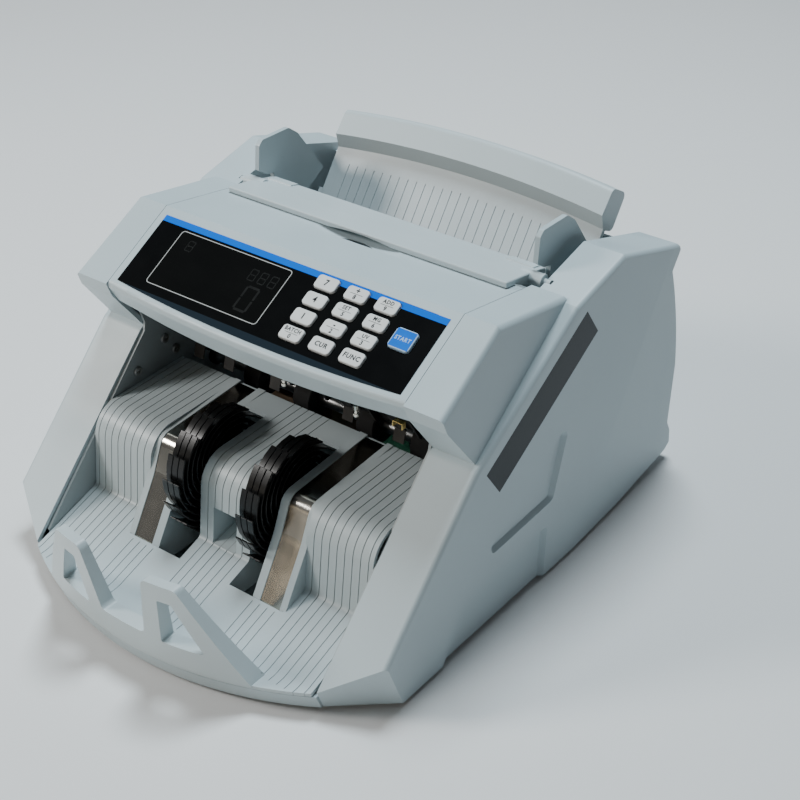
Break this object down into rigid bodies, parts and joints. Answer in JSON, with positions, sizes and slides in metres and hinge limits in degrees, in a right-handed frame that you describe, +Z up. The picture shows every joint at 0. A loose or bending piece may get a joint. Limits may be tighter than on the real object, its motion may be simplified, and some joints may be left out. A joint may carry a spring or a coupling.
{
  "type": "banknote counting machine",
  "caption": "Desktop banknote counter with rear feed hopper, sloping keypad console and an open front stacker with finned stacking wheels.",
  "frame": {"origin": "centre of the footprint on the table, under the rubber feet", "axes": "+X to the operator's right when facing the machine, -Y towards the operator, +Z up"},
  "size_m": [0.25, 0.326, 0.1812],
  "materials": {
    "case": "satin moulded plastic",
    "tray_plastic": "satin moulded plastic",
    "guide_plastic": "satin moulded plastic",
    "film": "satin printed film",
    "window": "smoked",
    "display": "dark",
    "keys": "matte",
    "start": "matte",
    "steel": "ground",
    "polished": "polished",
    "frame": "satin",
    "wheel": "flexible",
    "rubber": "matte",
    "black": "matte",
    "motor": "satin",
    "board": "solder mask",
    "lens": "clear"
  },
  "bodies": {
    "chassis": {"right_side_cover": "case", "left_side_cover": "case", "front_cover": "case", "rear_cover": "case", "stacker_tray": "tray_plastic", "hopper_tray": "tray_plastic", "panel_overlay": "film", "display_window": "window", "display_module": "display", "guide_rail": "steel", "tie_bars": "steel", "exit_springs": "steel", "case_screws": "steel", "left_note_plate": "polished", "right_note_plate": "polished", "left_side_frame": "frame", "right_side_frame": "frame", "base_pan": "frame", "rubber_feet": "rubber", "retard_rollers": "rubber", "drive_belts": "rubber", "upper_guide": "black", "power_inlet": "black", "display_socket": "black", "shaft_bushes": "black", "main_motor": "motor", "transformer": "motor", "main_board": "board", "keypad_board": "board", "stacker_sensor_lens": "lens"},
    "lid": {"top_lid": "tray_plastic"},
    "left_guide": {"left_hopper_guide": "guide_plastic"},
    "right_guide": {"right_hopper_guide": "guide_plastic"},
    "feed_roll": {"feed_shaft": "steel", "feed_rollers": "rubber"},
    "pickup_roll": {"pickup_shaft": "steel", "pickup_rollers": "rubber"},
    "transport_roll": {"transport_shaft": "steel", "transport_rollers": "rubber"},
    "pinch_roll": {"pinch_shaft": "steel", "pinch_rollers": "rubber"},
    "stacking_wheels": {"impeller_shaft": "steel", "left_impeller": "wheel", "right_impeller": "wheel"},
    "motor_rotor": {"motor_pulley": "motor"},
    "rocker": {"switch_rocker": "black"},
    "adjuster": {"gap_knob": "black"},
    "key_0_cap": {"key_0": "keys"},
    "key_cur_cap": {"key_cur": "keys"},
    "key_func_cap": {"key_func": "keys"},
    "key_1_cap": {"key_1": "keys"},
    "key_2_cap": {"key_2": "keys"},
    "key_3_cap": {"key_3": "keys"},
    "key_4_cap": {"key_4": "keys"},
    "key_5_cap": {"key_5": "keys"},
    "key_6_cap": {"key_6": "keys"},
    "key_7_cap": {"key_7": "keys"},
    "key_8_cap": {"key_8": "keys"},
    "key_9_cap": {"key_9": "keys"},
    "start_key_cap": {"start_key": "start"}
  },
  "joints": [
    {"name": "lid_hinge", "type": "hinge", "parent": "chassis", "child": "lid", "pos_m": [0, 0.04997, 0.15649], "axis": [-1, 0, 0], "range_deg": [0, 55]},
    {"name": "left_guide_slide", "type": "slide", "parent": "chassis", "child": "left_guide", "axis": [1, 0, 0], "range_m": [0, 0.035]},
    {"name": "right_guide_slide", "type": "slide", "parent": "chassis", "child": "right_guide", "axis": [-1, 0, 0], "range_m": [0, 0.035]},
    {"name": "feed_spin", "type": "hinge", "parent": "chassis", "child": "feed_roll", "pos_m": [0, 0.08199, 0.07228], "axis": [1, 0, 0], "continuous": true},
    {"name": "pickup_spin", "type": "hinge", "parent": "chassis", "child": "pickup_roll", "pos_m": [0, 0.09808, 0.10508], "axis": [1, 0, 0], "continuous": true},
    {"name": "transport_spin", "type": "hinge", "parent": "chassis", "child": "transport_roll", "pos_m": [0, 0.012, 0.064], "axis": [1, 0, 0], "continuous": true},
    {"name": "pinch_spin", "type": "hinge", "parent": "chassis", "child": "pinch_roll", "pos_m": [0, 0.012, 0.0823], "axis": [1, 0, 0], "continuous": true},
    {"name": "stacker_spin", "type": "hinge", "parent": "chassis", "child": "stacking_wheels", "pos_m": [0, -0.0636, 0.0556], "axis": [1, 0, 0], "continuous": true},
    {"name": "motor_spin", "type": "hinge", "parent": "chassis", "child": "motor_rotor", "pos_m": [0, 0.114, 0.0355], "axis": [1, 0, 0], "continuous": true},
    {"name": "rocker_tilt", "type": "hinge", "parent": "chassis", "child": "rocker", "pos_m": [-0.022, 0.1495, 0.044], "axis": [1, 0, 0], "range_deg": [0, 16]},
    {"name": "adjuster_turn", "type": "hinge", "parent": "chassis", "child": "adjuster", "pos_m": [0, 0.1515, 0.112], "axis": [0, 1, 0], "range_deg": [-180, 180]},
    {"name": "key_0_press", "type": "slide", "parent": "chassis", "child": "key_0_cap", "axis": [0, 0.4924, -0.8704], "range_m": [0, 0.0008], "stiffness_N_per_m": 400},
    {"name": "key_cur_press", "type": "slide", "parent": "chassis", "child": "key_cur_cap", "axis": [0, 0.4924, -0.8704], "range_m": [0, 0.0008], "stiffness_N_per_m": 400},
    {"name": "key_func_press", "type": "slide", "parent": "chassis", "child": "key_func_cap", "axis": [0, 0.4924, -0.8704], "range_m": [0, 0.0008], "stiffness_N_per_m": 400},
    {"name": "key_1_press", "type": "slide", "parent": "chassis", "child": "key_1_cap", "axis": [0, 0.4924, -0.8704], "range_m": [0, 0.0008], "stiffness_N_per_m": 400},
    {"name": "key_2_press", "type": "slide", "parent": "chassis", "child": "key_2_cap", "axis": [0, 0.4924, -0.8704], "range_m": [0, 0.0008], "stiffness_N_per_m": 400},
    {"name": "key_3_press", "type": "slide", "parent": "chassis", "child": "key_3_cap", "axis": [0, 0.4924, -0.8704], "range_m": [0, 0.0008], "stiffness_N_per_m": 400},
    {"name": "key_4_press", "type": "slide", "parent": "chassis", "child": "key_4_cap", "axis": [0, 0.4924, -0.8704], "range_m": [0, 0.0008], "stiffness_N_per_m": 400},
    {"name": "key_5_press", "type": "slide", "parent": "chassis", "child": "key_5_cap", "axis": [0, 0.4924, -0.8704], "range_m": [0, 0.0008], "stiffness_N_per_m": 400},
    {"name": "key_6_press", "type": "slide", "parent": "chassis", "child": "key_6_cap", "axis": [0, 0.4924, -0.8704], "range_m": [0, 0.0008], "stiffness_N_per_m": 400},
    {"name": "key_7_press", "type": "slide", "parent": "chassis", "child": "key_7_cap", "axis": [0, 0.4924, -0.8704], "range_m": [0, 0.0008], "stiffness_N_per_m": 400},
    {"name": "key_8_press", "type": "slide", "parent": "chassis", "child": "key_8_cap", "axis": [0, 0.4924, -0.8704], "range_m": [0, 0.0008], "stiffness_N_per_m": 400},
    {"name": "key_9_press", "type": "slide", "parent": "chassis", "child": "key_9_cap", "axis": [0, 0.4924, -0.8704], "range_m": [0, 0.0008], "stiffness_N_per_m": 400},
    {"name": "start_key_press", "type": "slide", "parent": "chassis", "child": "start_key_cap", "axis": [0, 0.4924, -0.8704], "range_m": [0, 0.0008], "stiffness_N_per_m": 400}
  ],
  "couplings": [
    {"joint": "pickup_spin", "follows": "feed_spin", "ratio": 1},
    {"joint": "transport_spin", "follows": "feed_spin", "ratio": 2},
    {"joint": "pinch_spin", "follows": "feed_spin", "ratio": -3.1429},
    {"joint": "stacker_spin", "follows": "feed_spin", "ratio": 1.1667},
    {"joint": "motor_spin", "follows": "feed_spin", "ratio": 1.75}
  ]
}
